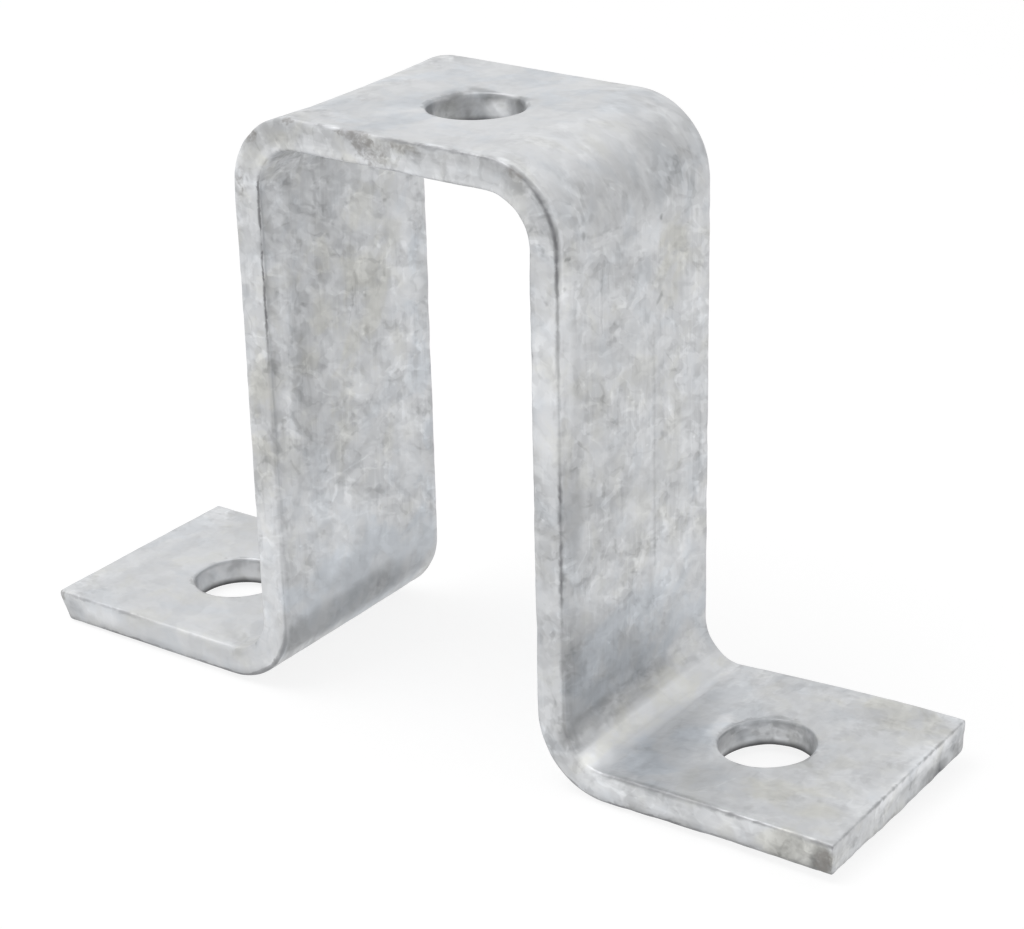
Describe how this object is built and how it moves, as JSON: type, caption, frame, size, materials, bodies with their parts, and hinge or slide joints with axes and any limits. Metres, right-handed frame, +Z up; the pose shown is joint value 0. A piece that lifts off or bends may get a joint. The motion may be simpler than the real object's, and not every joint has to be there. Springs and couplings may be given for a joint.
{
  "type": "u-shaped bracket",
  "caption": "U-shaped saddle bracket bent from galvanised flat steel bar, with a bolt hole in its flat crown and an outward foot with a bolt hole on either side.",
  "frame": {"origin": "on the ground plane of the feet's undersides, midway between the feet and in the middle of the bar's width, straight under the crown hole", "axes": "+X along the bracket from foot to foot, +Y across the bar, +Z up from the feet to the crown"},
  "size_m": [0.1474, 0.04, 0.0955],
  "materials": {
    "galvanised_steel": "hot-dip galvanised, satin to matt, mottled light grey with faint drawing lines along the bar"
  },
  "bodies": {
    "root": {"bracket": "galvanised_steel"}
  },
  "joints": []
}
